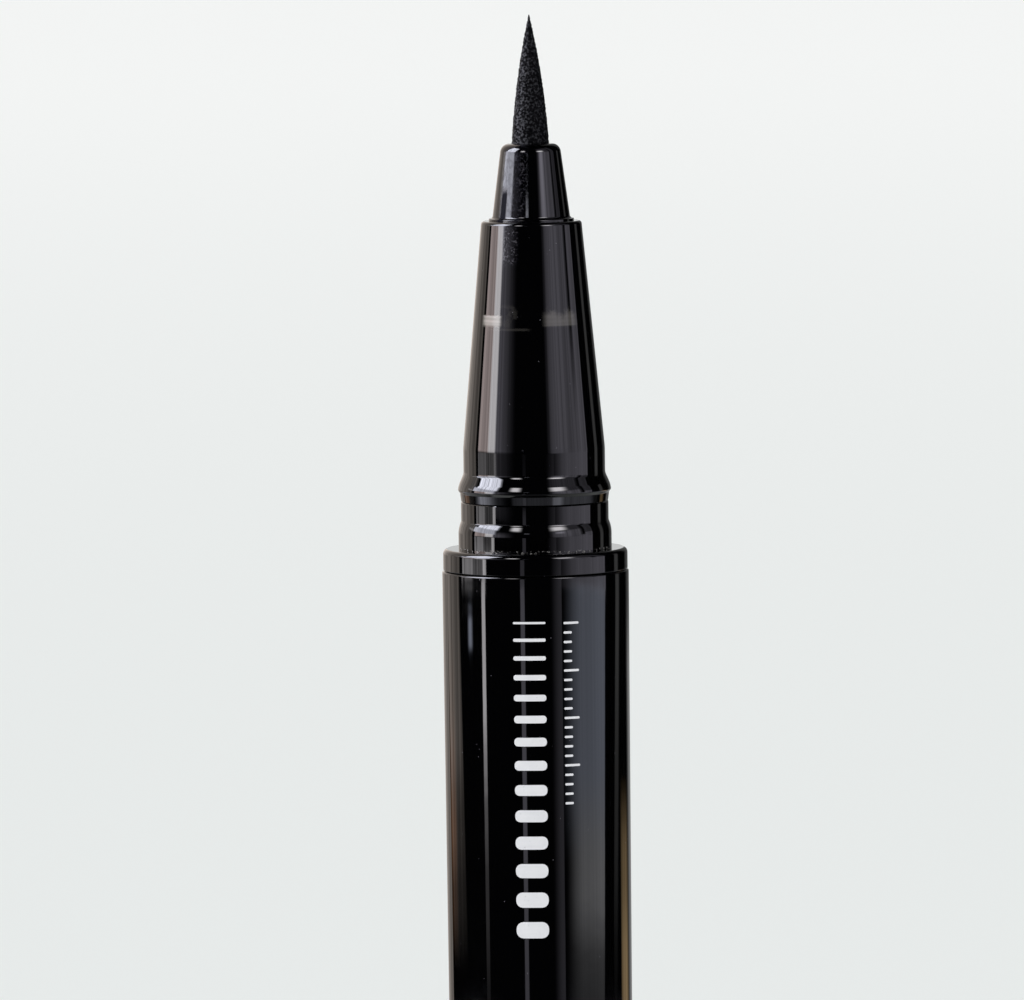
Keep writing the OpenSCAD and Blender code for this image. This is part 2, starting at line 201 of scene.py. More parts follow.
def turned(name, corners):
    """A finished turned piece."""
    piece = draw_outline(name, corners)
    round_corners(piece, corners, ARC_STEPS)
    spin_round(ROUND_STEPS)
    even_shading(piece)
    top = max(corner[1] for corner in corners)
    print(f"{name}: {len(piece.data.polygons)} faces, top at {top:.2f} mm")
    return piece


def place_on(piece, body, slot, *nodes):
    """The piece rides on a body and stands for CAD nodes, which it hides. The slot is not used."""
    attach(piece, body)
    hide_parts(*nodes)


def above_mouth(corners):
    """Corners whose heights were counted from the barrel's mouth."""
    return [(corner[0], corner[1] + MOUTH, *corner[2:]) for corner in corners]


print(f"{ROUND_STEPS} steps round, {ARC_STEPS} in a rounded corner")

# %% [markdown]
# ## The nose
#
# The nose is the small cone that holds the fibre tip. Its top edge is generously rounded
# and a thin ledge runs round its foot, where it sits on the grip section. Below that is
# the stem that is pressed into the section, and inside is the room for the tip's sleeve.

# %% Turn the nose
NOSE_FOOT = 19.75
NOSE_TOP = 24.1
NOSE_SEAT = 16.15
NOSE_TOP_R = 1.65
NOSE_FOOT_R = 2.2
NOSE_STEM_R = 1.95
LEDGE_TOP = NOSE_FOOT + 0.14
LEDGE_R = 2.4
TIP_HOLE_R = 1.07
TIP_HOLE_FOOT = NOSE_TOP - 0.9
SLEEVE_HOLE_R = 1.29

nose = turned("nose", above_mouth([
    (TIP_HOLE_R, NOSE_TOP, 0.05),
    (NOSE_TOP_R, NOSE_TOP, 0.5),
    (NOSE_FOOT_R, LEDGE_TOP, 0.16),
    (LEDGE_R, LEDGE_TOP, 0.035),
    (LEDGE_R, NOSE_FOOT),
    (NOSE_STEM_R, NOSE_FOOT),
    (NOSE_STEM_R, NOSE_SEAT),
    (SLEEVE_HOLE_R, NOSE_SEAT),
    (SLEEVE_HOLE_R, TIP_HOLE_FOOT),
    (TIP_HOLE_R, TIP_HOLE_FOOT),
]))
place_on(nose, "pen", "gloss_black", "nose_cone")

# %% [markdown]
# ## The grip section
#
# This one moulding has most of the pen's character. From the top down it has the long
# cone that the fingers hold, a short straight stem, a rounded bead that snaps into the
# cap, a narrow band, a groove with a fine undercut, and the neck that the cap closes on.
# The band leans outwards, so it mirrors what lies low and shows as a grey line under the
# bead.

# %% Turn the grip section
RING_TOP = 1.25
NECK_TOP = 2.3
GROOVE_FOOT = 2.6
GROOVE_TOP = 3.95
BAND_TOP = 4.35
BEAD_CREST = 4.65
BEAD_TOP = 5.45
STEM_TOP = 6.95
NECK_R = 4.325
GROOVE_R = 4.165
UNDERCUT_R = 4.08
BAND_FOOT_R = 4.155
BAND_TOP_R = 4.21
BEAD_R = 4.285
STEM_R = 4.0
CONE_TOP_R = 2.825
SKIRT_FOOT = -8.0
SKIRT_R = 3.89
SKIRT_BEVEL = 0.3
SKIRT_BORE_R = 3.14
SEAL_FOOT = -5.16
SEAL_TOP = -4.64
SEAL_R = 3.49
CONE_BORE_FOOT = 10.9
CONE_BORE_TOP = NOSE_SEAT - 0.6
CONE_BORE_R = 2.66
NOSE_HOLE_R = 1.97
SLEEVE_WAY_R = 1.67

section = turned("grip_cone", above_mouth([
    (SKIRT_BORE_R, SKIRT_FOOT),
    (SKIRT_R - SKIRT_BEVEL, SKIRT_FOOT),
    (SKIRT_R, SKIRT_FOOT + SKIRT_BEVEL),
    (SKIRT_R, SEAL_FOOT),
    (SEAL_R, SEAL_FOOT),
    (SEAL_R, SEAL_TOP),
    (SKIRT_R, SEAL_TOP),
    (SKIRT_R, RING_TOP),
    (NECK_R, RING_TOP),
    (NECK_R, NECK_TOP + 0.14, 1.5),
    (GROOVE_R, GROOVE_FOOT + 0.21, 0.25),
    (GROOVE_R, GROOVE_TOP - 0.1),
    (UNDERCUT_R, GROOVE_TOP),
    (BAND_FOOT_R, GROOVE_TOP),
    (BAND_TOP_R, BAND_TOP + 0.05, 0.06),
    (NECK_R, BEAD_CREST - 0.09, 0.12),
    (BEAD_R, BEAD_CREST + 0.19, 1.2),
    (STEM_R, BEAD_TOP + 0.05, 0.5),
    (STEM_R, STEM_TOP, 3.0),
    (CONE_TOP_R, NOSE_FOOT, 0.2),
    (NOSE_HOLE_R, NOSE_FOOT),
    (NOSE_HOLE_R, NOSE_SEAT),
    (SLEEVE_WAY_R, NOSE_SEAT),
    (SLEEVE_WAY_R, CONE_BORE_TOP),
    (CONE_BORE_R, CONE_BORE_TOP),
    (SKIRT_BORE_R, CONE_BORE_FOOT),
]))
place_on(section, "pen", "gloss_black", "grip_section")

# %% [markdown]
# ## The shoulder ring
#
# A low ring closes the step between the neck and the barrel. Its top edge is rounded and
# its foot has a tiny chamfer, which gives the dark seam over the barrel.

# %% Turn the shoulder ring
RING_R = 5.21
RING_CHAMFER = 0.08
RING_BORE_R = 3.91
SPIGOT_R = 4.33
SPIGOT_FOOT = -1.5

ring = turned("shoulder", above_mouth([
    (RING_BORE_R, SPIGOT_FOOT),
    (SPIGOT_R, SPIGOT_FOOT),
    (SPIGOT_R, 0),
    (RING_R - RING_CHAMFER, 0),
    (RING_R, RING_CHAMFER, 0.03),
    (RING_R, RING_TOP, 0.28),
    (RING_BORE_R, RING_TOP),
]))
place_on(ring, "pen", "gloss_black", "shoulder_ring")

# %% [markdown]
# ## The barrel and the tail
#
# The barrel is one long tube with a slight taper. The tail plug closes it with a narrow
# shoulder and carries the post on which the cap is put while the pen is in use.

# %% Turn the barrel
BARREL_FOOT = -94.0
BARREL_MOUTH_R = 5.27
BARREL_FOOT_R = 4.95
BORE_R = 4.35
SNAP_FOOT = BARREL_FOOT + 2.6
SNAP_TOP = SNAP_FOOT + 0.8
SNAP_DEPTH = 0.12

barrel = turned("long_barrel", above_mouth([
    (BORE_R, BARREL_FOOT),
    (BARREL_FOOT_R, BARREL_FOOT, 0.15),
    (BARREL_MOUTH_R, 0, 0.1),
    (BORE_R, 0, 0.04),
    (BORE_R, SNAP_TOP),
    (BORE_R + SNAP_DEPTH, SNAP_TOP - SNAP_DEPTH),
    (BORE_R + SNAP_DEPTH, SNAP_FOOT + SNAP_DEPTH),
    (BORE_R, SNAP_FOOT),
]))
place_on(barrel, "pen", "barrel_black", "barrel")

# %% Turn the tail plug with its post
SHOULDER_FOOT = BARREL_FOOT - 0.8
POST_FOOT = SHOULDER_FOOT - 8.0
POST_R = 4.185
PLUG_R = BORE_R - 0.02
PLUG_BORE_R = 3.285
PLUG_TOP = BARREL_FOOT + 7
POST_FLOOR = POST_FOOT + 1

tail = turned("tail_post", above_mouth([
    (0, POST_FOOT),
    (POST_R, POST_FOOT, 0.4),
    (POST_R, SHOULDER_FOOT, 0.05),
    (BARREL_FOOT_R, SHOULDER_FOOT, 0.15),
    (BARREL_FOOT_R, BARREL_FOOT, 0.04),
    (PLUG_R, BARREL_FOOT),
    (PLUG_R, SNAP_FOOT),
    (PLUG_R + SNAP_DEPTH, SNAP_FOOT + SNAP_DEPTH),
    (PLUG_R + SNAP_DEPTH, SNAP_TOP - SNAP_DEPTH),
    (PLUG_R, SNAP_TOP),
    (PLUG_R, PLUG_TOP),
    (PLUG_BORE_R, PLUG_TOP),
    (PLUG_BORE_R, POST_FLOOR),
    (0, POST_FLOOR),
]))
place_on(tail, "pen", "barrel_black", "tail_plug")

# %% [markdown]
# ## The cap and its liner
#
# The cap is a tapered shell with a snap rib inside its mouth. The soft liner in it seals
# round the nose when the pen is put away, and shows when the pen is lifted out.

# %% Turn the cap shell
CAP_TOP = 35.5
CAP_FLOOR = 1.6
CAP_FOOT_R = 4.95
CAP_MOUTH_R = 5.21
CAP_BORE_R = 4.4
CAP_LEAD_IN = 0.15
RIB_LEVEL = 33.475
RIB_HALF = 0.4
RIB_R = 4.215
LINER_SEAT = 24.2
POCKET_R = 4.15

cap = turned("cap", [
    (0, 0),
    (CAP_FOOT_R, 0, 0.9),
    (CAP_MOUTH_R, CAP_TOP, 0.14),
    (CAP_BORE_R + CAP_LEAD_IN, CAP_TOP, 0.05),
    (CAP_BORE_R, CAP_TOP - CAP_LEAD_IN, 0.05),
    (CAP_BORE_R, RIB_LEVEL + RIB_HALF, 0.1),
    (RIB_R, RIB_LEVEL, 0.15),
    (CAP_BORE_R, RIB_LEVEL - RIB_HALF, 0.1),
    (CAP_BORE_R, LINER_SEAT),
    (CAP_BORE_R - 0.1, LINER_SEAT),
    (POCKET_R, CAP_FLOOR, 0.9),
    (0, CAP_FLOOR),
])
place_on(cap, "cap", "barrel_black", "cap_shell")

# %% Turn the soft liner
LINER_FOOT = 3.6
LINER_FLOOR = 4.2
LINER_MOUTH = 26.7
CUP_TOP = 12.65
STEP_LEVEL = 16.5
INNER_STEP = 17.0
CUP_R = 2.35
CUP_BORE_R = 1.85
FLARE_R = 3.05
STEP_R = 3.475
INNER_FLARE_R = 2.55
INNER_STEP_R = 2.975
RIM_R = CAP_BORE_R - 0.02

liner = turned("inner_cap", [
    (0, LINER_FOOT),
    (CUP_R, LINER_FOOT, 0.4),
    (CUP_R, CUP_TOP),
    (FLARE_R, STEP_LEVEL),
    (STEP_R, STEP_LEVEL),
    (POCKET_R, LINER_SEAT),
    (RIM_R, LINER_SEAT),
    (RIM_R, LINER_MOUTH, 0.12),
    (RIM_R - 0.5, LINER_MOUTH, 0.15),
    (INNER_STEP_R, INNER_STEP),
    (INNER_FLARE_R, INNER_STEP),
    (CUP_BORE_R, CUP_TOP),
    (CUP_BORE_R, LINER_FLOOR),
    (0, LINER_FLOOR),
])
place_on(liner, "cap", "soft_white_plastic", "cap_liner")

# %% [markdown]
# ## The fibre tip
#
# The tip is a slim ogive of pressed fibre, ground to a point. Close up it isn't smooth at
# all: it has a grain of a tenth to a quarter of a millimetre, which also shows along its
# outline. The shape is turned as before, but with hundreds of rows, and two Displace
# modifiers then move its surface. A vertex group keeps its root as it is.

# %% Turn the tip with a fine mesh
TIP_R = 1.05
TIP_LEN = 7.25
TIP_ROWS = 230
TIP_STEPS = 200
POINT_R = 0.03
STRAIGHT_SHARE = 0.42
TIP_BASE = MOUTH + NOSE_TOP
TIP_ROOT = TIP_BASE - 6


def tip_radius(share):
    """Radius at a share of the tip's length from its point."""
    curve = STRAIGHT_SHARE * share + (1 - STRAIGHT_SHARE) * (2 * share - share * share)
    return POINT_R + (TIP_R - POINT_R) * curve


corners = [(0, TIP_ROOT), (TIP_R, TIP_ROOT)]
for i in range(TIP_ROWS + 1):
    corners.append((tip_radius(1 - i / TIP_ROWS), TIP_BASE + TIP_LEN * i / TIP_ROWS))
corners.append((0, TIP_BASE + TIP_LEN))
tip = draw_outline("felt_tip", corners)
spin_round(TIP_STEPS)
print(f"felt_tip: {len(tip.data.polygons)} faces before the grain")

# %% Give the tip its grain
GRAIN_START = TIP_BASE + 0.05


def grain(piece, kind, size, depth, group, middle=0.5):
    """Moves the surface along its normals by a texture of this grain size, in mm."""
    texture = bpy.data.textures.new(f"{piece.name}_{kind}", kind)
    texture.noise_scale = size * MM
    modifier = piece.modifiers.new(kind, "DISPLACE")
    modifier.texture = texture
    modifier.texture_coords = "LOCAL"
    modifier.strength = depth * MM
    modifier.mid_level = middle
    modifier.vertex_group = group
    work_on(piece)
    bpy.ops.object.modifier_apply(modifier=modifier.name)


showing = tip.vertex_groups.new(name="showing")
above = [vert.index for vert in tip.data.vertices if vert.co.z > GRAIN_START * MM]
showing.add(above, 1.0, "REPLACE")
grain(tip, "CLOUDS", size=0.25, depth=0.03, group="showing")
grain(tip, "VORONOI", size=0.15, depth=-0.05, group="showing", middle=0.35)
work_on(tip)
bpy.ops.object.shade_smooth()
tip.vertex_groups.clear()
place_on(tip, "pen", "fibre_tip", "brush_tip")
top = max(vert.co.z for vert in tip.data.vertices) / MM
print(f"felt_tip: grain on {len(above)} vertices, top at {top:.2f} mm")

# %% [markdown]
# ## The print
#
# The front of the barrel carries white print. Here it is a plain line gauge: a column of
# bars whose thickness grows step by step, and beside it a narrow scale of ticks. Print is
# a film of ink, so each mark is a flat bar with rounded corners, cut into narrow strips,
# laid on the barrel by a Shrinkwrap modifier and given the thickness of a film.

# %% Draw the marks in front of the barrel
BARS = 14
THIN_BAR = 0.12
THICK_BAR = 0.92
BAR_GAP = 0.813
BAR_WIDTH = 1.82
BAR_X = -0.4
PRINT_TOP = -2.5
DRAWN_AT_Y = -8
CORNER_SHARE = 0.42
CORNER_STEPS = 4


def add_mark(x, level, width, height):
    """One bar with rounded corners in the XZ plane, sizes in mm."""
    place = Vector((x * MM, DRAWN_AT_Y * MM, (MOUTH + level) * MM))
    bpy.ops.mesh.primitive_plane_add(size=MM, location=place, rotation=(math.pi / 2, 0, 0))
    bpy.ops.transform.resize(value=(width, 1, height), center_override=place)
    rounding = min(width, height) * CORNER_SHARE * MM
    bpy.ops.mesh.bevel(
        affect="VERTICES", offset_type="OFFSET", offset=rounding, segments=CORNER_STEPS
    )


marks = single_vertex("line_gauge_print", 0, 0, 0)
bpy.ops.mesh.delete(type="VERT")
level = PRINT_TOP
for i in range(BARS):
    height = THIN_BAR + (THICK_BAR - THIN_BAR) * i / (BARS - 1)
    add_mark(BAR_X, level - height / 2, BAR_WIDTH, height)
    level -= height + BAR_GAP
print(f"{BARS} bars down to {level + BAR_GAP:.2f} mm from the mouth")

# %% Draw the scale of ticks
TICKS = 20
TICKS_TOP = PRINT_TOP - 0.1
TICK_PITCH = 0.535
TICK_HEIGHT = 0.13
TICK_LEFT = 1.52
LONG_TICK = 0.84
SHORT_TICK = 0.46
LONG_EVERY = 5

for i in range(TICKS):
    width = SHORT_TICK if i % LONG_EVERY else LONG_TICK
    add_mark(TICK_LEFT + width / 2, TICKS_TOP - i * TICK_PITCH, width, TICK_HEIGHT)
print(f"{TICKS} ticks, {TICKS // LONG_EVERY} of them long")

# %% Lay the print on the barrel
STRIP = 0.15
FIRST_CUT = -9
LAST_CUT = 17
FILM = 0.012
AIR_GAP = 0.002

for i in range(FIRST_CUT, LAST_CUT + 1):
    bpy.ops.mesh.select_all(action="SELECT")
    bpy.ops.mesh.bisect(plane_co=(i * STRIP * MM, 0, 0), plane_no=(1, 0, 0))
bpy.ops.object.mode_set(mode="OBJECT")
wrap = marks.modifiers.new("on the barrel", "SHRINKWRAP")
wrap.target = barrel
wrap.wrap_method = "PROJECT"
wrap.use_project_y = True
wrap.use_positive_direction = True
wrap.offset = AIR_GAP * MM
thicken = marks.modifiers.new("ink film", "SOLIDIFY")
thicken.thickness = FILM * MM
thicken.offset = 1
work_on(marks)
for modifier in list(marks.modifiers):
    bpy.ops.object.modifier_apply(modifier=modifier.name)
bpy.ops.object.shade_smooth_by_angle(angle=math.radians(SHARP_ANGLE))
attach(marks, "pen")
front = min(vert.co.y for vert in marks.data.vertices) / MM
print(f"print: {len(marks.data.polygons)} faces, front at {front:.3f} mm")

# %% [markdown]
# ## Nodes for the finishes
#
# Every finish reads Object coordinates, which are in metres, so a Mapping node first turns
# them into millimetres. A texture's scale is then simply the number of its features in a
# millimetre. A few short helpers keep each finish readable.

# %% Helpers that add and join nodes
FACTOR, COLOUR_A, COLOUR_B = 0, 6, 7
COLOUR_OUT = 2


class Finish:
    """A material and the few kinds of nodes that the pen's finishes need."""

    def __init__(self, name):
        self.material = bpy.data.materials.new(name)
        self.material.use_nodes = True
        self.tree = self.material.node_tree
        self.shader = self.tree.nodes["Principled BSDF"]
        self.place = self.add("TexCoord").outputs["Object"]
        self.mm = self.stretched(1, 1, 1)

    def join(self, socket, value):
        """Sets a socket, or links it where the value comes from a node."""
        if isinstance(value, bpy.types.NodeSocket):
            self.tree.links.new(value, socket)
        else:
            socket.default_value = value

    def add(self, kind, **sockets):
        """A new node, with some of its inputs set or linked."""
        node = self.tree.nodes.new(f"ShaderNode{kind}")
        for name, value in sockets.items():
            self.join(node.inputs[name], value)
        return node

    def stretched(self, x, y, z):
        """Object coordinates in mm, each axis multiplied."""
        scale = (x / MM, y / MM, z / MM)
        return self.add("Mapping", Vector=self.place, Scale=scale).outputs["Vector"]

    def axes(self):
        """x, y and z in mm."""
        return self.add("SeparateXYZ", Vector=self.mm).outputs

    def noise(self, scale, detail=3.0, roughness=0.5, place=None):
        """Cloudy noise, mostly between 0.3 and 0.7."""
        place = place or self.mm
        node = self.add("TexNoise", Vector=place, Scale=scale, Detail=detail, Roughness=roughness)
        return node.outputs["Fac"]

    def cells(self, scale):
        """How far the middle of the nearest cell is."""
        return self.add("TexVoronoi", Vector=self.mm, Scale=scale).outputs["Distance"]

    def math(self, operation, *values):
        node = self.add("Math")
        node.operation = operation
        for socket, value in zip(node.inputs, values):
            self.join(socket, value)
        return node.outputs[0]

    def times(self, first, second):
        return self.math("MULTIPLY", first, second)

    def larger(self, first, second):
        return self.math("MAXIMUM", first, second)

    def add_share(self, value, share, base):
        """The base, and this share of a value on top."""
        return self.math("MULTIPLY_ADD", value, share, base)

    def fade(self, value, low, high, start=0.0, end=1.0):
        """Runs smoothly from start to end while value goes from low to high."""
        node = self.add("MapRange")
        node.interpolation_type = "SMOOTHSTEP"
        sockets = ("Value", "From Min", "From Max", "To Min", "To Max")
        for name, number in zip(sockets, (value, low, high, start, end)):
            self.join(node.inputs[name], number)
        return node.outputs["Result"]

    def blend(self, mask, under, over):
        """Two colours, by a mask. The Mix node's colour sockets go by number."""
        node = self.add("Mix")
        node.data_type = "RGBA"
        for i, value in ((FACTOR, mask), (COLOUR_A, under), (COLOUR_B, over)):
            if isinstance(value, tuple):
                value = (*value, 1.0)
            self.join(node.inputs[i], value)
        return node.outputs[COLOUR_OUT]

    def bump(self, *layers):
        """Bump of several (height, depth in mm) layers on top of each other."""
        normal = None
        for height, depth in layers:
            node = self.add("Bump", Distance=depth * MM, Height=height)
            if normal is not None:
                self.join(node.inputs["Normal"], normal)
            normal = node.outputs["Normal"]
        self.join(self.shader.inputs["Normal"], normal)

    def set(self, **sockets):
        """Sets or links the shader's sockets, with _ for a space in their names."""
        for name, value in sockets.items():
            self.join(self.shader.inputs[name.replace("_", " ")], value)


def wear(finish, *pieces):
    """Gives a finish to pieces or to CAD nodes."""
    for piece in pieces:
        piece.data.materials.clear()
        piece.data.materials.append(finish.material)
    names = [piece.name for piece in pieces]
    print(f"{finish.material.name}: {len(finish.tree.nodes)} nodes on {names}")


# %% [markdown]
# ## Black mirror plastic
#
# The pen is moulded in a black plastic with a polished surface. Its colour is almost
# nothing. What shows is what it mirrors, so the finish lives in small things: a faint
# waviness that bends the mirrored lights, fine hairlines from handling, a haze that comes
# and goes, and a few grains of dust.

# %% Make the black plastic
BLACK = (0.0006, 0.0006, 0.0008)
DUST = (0.16, 0.15, 0.18)
DUST_SIZE = 0.045
DUST_ROUGHNESS = 0.5
HAIRLINE_DEPTH = 0.00012
PLASTIC_IOR = 1.5


def black_plastic(name, waviness=0.0012):
    """Polished black plastic. Returns it with its colour and roughness so far."""
    finish = Finish(name)
    speck = finish.fade(finish.cells(2.6), DUST_SIZE * 1.3, DUST_SIZE)
    rare = finish.fade(finish.noise(0.9, detail=2), 0.56, 0.62)
    dust = finish.times(speck, rare)
    colour = finish.blend(dust, BLACK, DUST)
    haze = finish.fade(finish.noise(0.7, detail=4), 0.35, 0.75, 0.02, 0.05)
    roughness = finish.math("ADD", haze, finish.times(dust, DUST_ROUGHNESS))
    hairlines = finish.noise(6, detail=2, place=finish.stretched(1.6, 1.6, 0.04))
    finish.bump((finish.noise(0.8, detail=1), waviness), (hairlines, HAIRLINE_DEPTH))
    return finish, colour, roughness


def film(finish, colour, roughness, mask, film_colour, film_roughness):
    """Lays a dry film over a finish, where its mask says."""
    colour = finish.blend(mask, colour, film_colour)
    bare = finish.times(roughness, finish.math("SUBTRACT", 1.0, mask))
    return colour, finish.math("ADD", bare, finish.times(mask, film_roughness))


body_black, colour, roughness = black_plastic("barrel_black_plastic")
body_black.set(Base_Color=colour, Roughness=roughness, IOR=PLASTIC_IOR)
wear(body_black, barrel, tail, cap, ring)

# %% [markdown]
# Handling leaves its marks at certain places only, so these finishes first work out where
# a point lies round the pen. The bearing is counted in degrees from the front, and a zone
# fades in and out between two bearings or two heights.


# %% Helpers for a place on the pen
def bearing_of(finish):
    """Degrees round the pen from the front, left is negative."""
    x, y, _ = finish.axes()
    return finish.math("DEGREES", finish.math("ARCTAN2", x, finish.times(y, -1.0)))


def height_of(finish):
    """Millimetres above the barrel's mouth."""
    return finish.math("SUBTRACT", finish.axes()["Z"], MOUTH)


def zone(finish, value, low, high, soft):
    """1 between low and high, with soft ends."""
    rise = finish.fade(value, low - soft, low + soft)
    fall = finish.fade(value, high + soft, high - soft)
    return finish.times(rise, fall)


def spots(finish, scale, size, share):
    """Small round spots, of which noise keeps only a share."""
    dot = finish.fade(finish.cells(scale), size, size * 0.6)
    kept = finish.fade(finish.noise(scale * 0.35, detail=2), 1 - share, 1.04 - share)
    return finish.times(dot, kept)


print("zones are degrees from the front, or mm above the barrel's mouth")

# %% [markdown]
# The nose is stained. Ink has dried on its left in thin blotches, most of all near the
# tip, and a dry film of ink is dull and a little violet on a shiny black ground. Further
# round to the left the film is too thin to colour the plastic, and only mottles its shine.

# %% Stain the nose with dried ink
STAIN_SIDES = (-58, -14)
SPECK_SIDES = (-36, -8)
SMEAR_SIDES = (-53.5, -41.5)
SMEAR_TOP = 22.0
MOTTLED_SIDES = (-60, -30)
DRIED_INK = (0.02, 0.019, 0.03)
SMEARED_INK = (0.004, 0.004, 0.007)
SHINY = 0.5
DULLED = 0.03

stained, colour, roughness = black_plastic("nose_black_plastic", waviness=0.0008)
bearing = bearing_of(stained)
cloudy = stained.noise(3.0, detail=5, roughness=0.6)
blotches = stained.fade(cloudy, 0.42, 0.68, 0, 0.45)
stain = stained.times(blotches, zone(stained, bearing, *STAIN_SIDES, 5))
specks = stained.fade(stained.noise(8, detail=2), 0.45, 0.7)
specks = stained.times(specks, zone(stained, bearing, *SPECK_SIDES, 6))
stain = stained.larger(stain, stained.times(specks, 0.4))
uneven = stained.add_share(cloudy, 0.9, height_of(stained))
smear = stained.fade(uneven, SMEAR_TOP + 0.3, SMEAR_TOP - 0.3)
smear = stained.times(zone(stained, bearing, *SMEAR_SIDES, 2), smear)
colour, roughness = film(stained, colour, roughness, stain, DRIED_INK, 0.4)
colour, roughness = film(stained, colour, roughness, smear, SMEARED_INK, 0.5)
mottles = stained.fade(cloudy, 0.42, 0.58)
mottles = stained.times(mottles, zone(stained, bearing, *MOTTLED_SIDES, 4))
dull = stained.larger(smear, stained.times(stain, 0.65))
dull = stained.larger(dull, stained.times(mottles, 0.36))
stained.set(
    Base_Color=colour,
    Roughness=roughness,
    Specular_IOR_Level=stained.fade(dull, 0, 1, SHINY, DULLED),
    IOR=PLASTIC_IOR,
)
wear(stained, nose)

# %% [markdown]
# The grip section has a scuffed band where a seal was once stuck round it: three thin pale
# lines with a dull film between them. The lines waver a little, because noise is added to
# the height before it is compared with theirs.

# %% Draw the thin lines round the grip section
SEAL_LINES = (14.0, 14.27, 14.53)
LAST_LINE = 13.82
LINE_WIDTH = 0.1

scuffed, colour, roughness = black_plastic("section_black_plastic")
bearing = bearing_of(scuffed)
height = height_of(scuffed)
ragged = scuffed.noise(1.6, detail=5, roughness=0.65)
wavy = scuffed.math("ADD", height, scuffed.times(ragged, 0.08))


def seal_line(level):
    """1 on a thin ring at this height, with soft edges."""
    off = scuffed.math("ABSOLUTE", scuffed.math("SUBTRACT", wavy, level))
    return scuffed.fade(off, LINE_WIDTH, LINE_WIDTH * 0.2)


lines = seal_line(SEAL_LINES[0])
for level in SEAL_LINES[1:]:
    lines = scuffed.larger(lines, seal_line(level))
print(f"{len(SEAL_LINES)} lines from {SEAL_LINES[0]} to {SEAL_LINES[-1]} mm")

# %% [markdown]
# The film between the lines is worn off in front and behind. Each patch that is left has
# its own sides and strength, and a fourth line, very faint, shows below them.

# %% Lay the dull film between them in patches
RESIDUE = (0.5, 0.46, 0.42)
LEFT_BAND = (14.0, 14.55)
FRONT_BAND = (13.85, 15.1)
RIGHT_FOOT = (13.92, 14.02)
RIGHT_TOP = (14.3, 13.5)

left_patch = zone(scuffed, height, *LEFT_BAND, 0.06)
left_patch = scuffed.add_share(lines, 0.34, left_patch)
uneven = scuffed.add_share(ragged, -1.7, height)
right_patch = scuffed.fade(uneven, *RIGHT_TOP)
right_patch = scuffed.times(scuffed.fade(height, *RIGHT_FOOT), right_patch)
right_patch = scuffed.add_share(lines, 0.12, right_patch)
front_patch = scuffed.fade(ragged, 0.45, 0.6)
front_patch = scuffed.times(front_patch, zone(scuffed, height, *FRONT_BAND, 0.15))
patches = (
    # mask, left and right side, soft degrees, share
    (left_patch, -56, -33, 3, 0.42),
    (right_patch, 12, 46, 4, 0.12),
    (front_patch, -36, -14, 5, 0.03),
    (seal_line(LAST_LINE), -50, -4, 4, 0.035),
)
residue = 0.0
for mask, left, right, soft, share in patches:
    patch = scuffed.times(mask, zone(scuffed, bearing, left, right, soft))
    residue = scuffed.add_share(patch, share, residue)
colour, roughness = film(scuffed, colour, roughness, residue, RESIDUE, 0.4)
print(f"{len(patches)} patches of film")

# %% [markdown]
# Small drops have dried near the top and just above the stem, and dry dust has gathered in
# the corner where the neck stands on the ring.

# %% Add drops of ink, and flecks at the neck's foot
TOP_SIDES = (-33, -16)
TOP_DROPS = (17.4, 19.5)
STEM_SIDES = (-30, 25)
STEM_DROPS = (7.0, 7.35)
FLECK_BAND = (RING_TOP - 0.1, RING_TOP + 0.13)
DROP_INK = (0.012, 0.011, 0.016)
FLECK_DUST = (0.3, 0.29, 0.28)

near_top = zone(scuffed, bearing, *TOP_SIDES, 3)
near_top = scuffed.times(near_top, zone(scuffed, height, *TOP_DROPS, 0.3))
near_stem = zone(scuffed, bearing, *STEM_SIDES, 5)
near_stem = scuffed.times(near_stem, zone(scuffed, height, *STEM_DROPS, 0.1))
drops = scuffed.fade(scuffed.noise(8, detail=2), 0.36, 0.76)
drops = scuffed.times(drops, near_top)
few = scuffed.times(spots(scuffed, 3, 0.24, 0.5), near_stem)
drops = scuffed.larger(drops, few)
colour, roughness = film(scuffed, colour, roughness, drops, DROP_INK, 0.4)
flecks = scuffed.fade(scuffed.noise(5.5, detail=3, roughness=0.6), 0.53, 0.66)
flecks = scuffed.times(flecks, zone(scuffed, height, *FLECK_BAND, 0.04))
colour, roughness = film(scuffed, colour, roughness, flecks, FLECK_DUST, 0.5)
scuffed.set(Base_Color=colour, Roughness=roughness, IOR=PLASTIC_IOR)
wear(scuffed, section)

# %% [markdown]
# ## Felt, print and the soft liner
#
# The tip is soaked with ink: matt and black, with grains of dry crust whose paleness is
# partly a painted glint, painted stronger on the left where the window's light falls. The
# print is a thin white film with pinholes and worn edges. The liner is a waxy white plastic
# that lets a little light in.

# %% Make the felt of the tip
WET_FELT = (0.001, 0.001, 0.0015)
# The pale grain colour is partly dry crust and partly a painted glint.
DRY_CRUST_AND_GLINT = (0.09, 0.09, 0.103)

felt = Finish("inked_felt")
grains = felt.fade(felt.noise(7.5, detail=2), 0.44, 0.7)
pits = felt.cells(8)
fine = felt.noise(16, detail=3)
# Painted light: the grains get paler towards the left, from 0.28 to 1.25 of their colour, as a
# painted glint where the window at the left lights them.
crust_and_painted_glint = felt.times(grains, felt.fade(bearing_of(felt), 8, -60, 0.28, 1.25))
felt.set(
    Base_Color=felt.blend(crust_and_painted_glint, WET_FELT, DRY_CRUST_AND_GLINT),
    Roughness=felt.fade(fine, 0.3, 0.7, 0.35, 0.5),
    Specular_IOR_Level=0.03,
    IOR=1.45,
)
felt.bump((pits, -0.02), (fine, 0.006))
wear(felt, tip)

# %% Make the white print
THIN_WHITE = (0.68, 0.68, 0.72)
FULL_WHITE = (0.8, 0.8, 0.82)
PINHOLE = (0.05, 0.05, 0.055)

